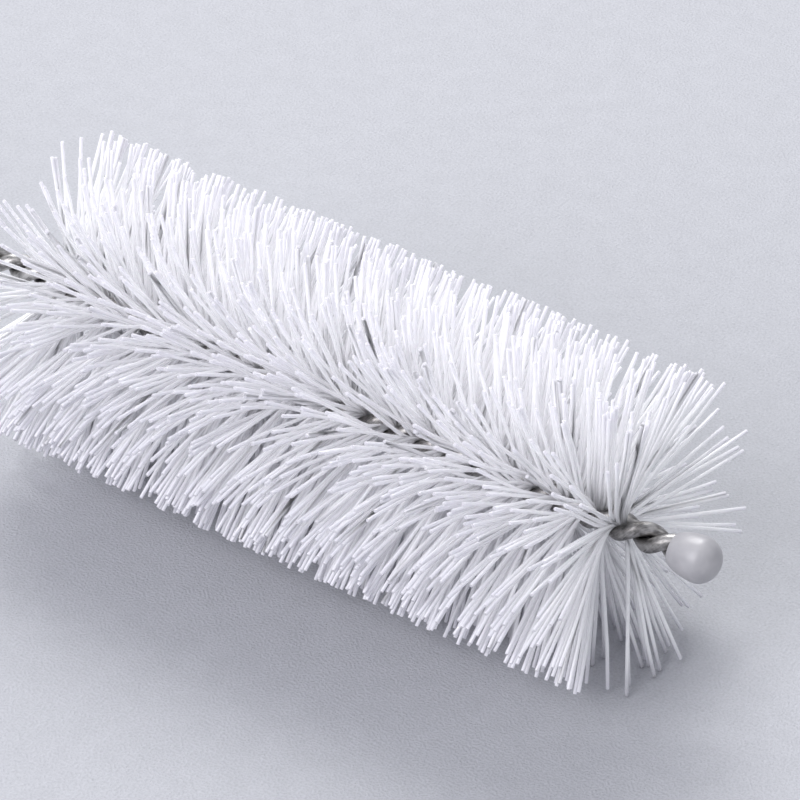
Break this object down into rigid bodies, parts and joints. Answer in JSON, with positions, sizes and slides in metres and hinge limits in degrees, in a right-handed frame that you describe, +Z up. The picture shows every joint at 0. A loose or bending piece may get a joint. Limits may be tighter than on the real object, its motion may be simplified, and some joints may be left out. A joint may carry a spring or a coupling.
{
  "type": "bottle brush",
  "caption": "Small lab bottle brush: nylon bristles trimmed to a cylinder, held in a twisted steel wire with a hanging loop at one end and a plastic bead over the wire's cut ends at the other.",
  "frame": {"origin": "on the surface that the brush lies on, under the middle of its whole length", "axes": "+Z up, +X along the wire from the hanging loop towards the bead"},
  "size_m": [0.2112, 0.036, 0.0354],
  "materials": {
    "wire": "drawn steel wire, plain, with dark crevices between the strands",
    "bristle": "white nylon filament, slightly translucent, cut ends",
    "bead": "moulded plastic, glossy off-white"
  },
  "bodies": {
    "root": {"stem_wire": "wire", "bristle_fill": "bristle", "tip_bead": "bead"}
  },
  "joints": []
}
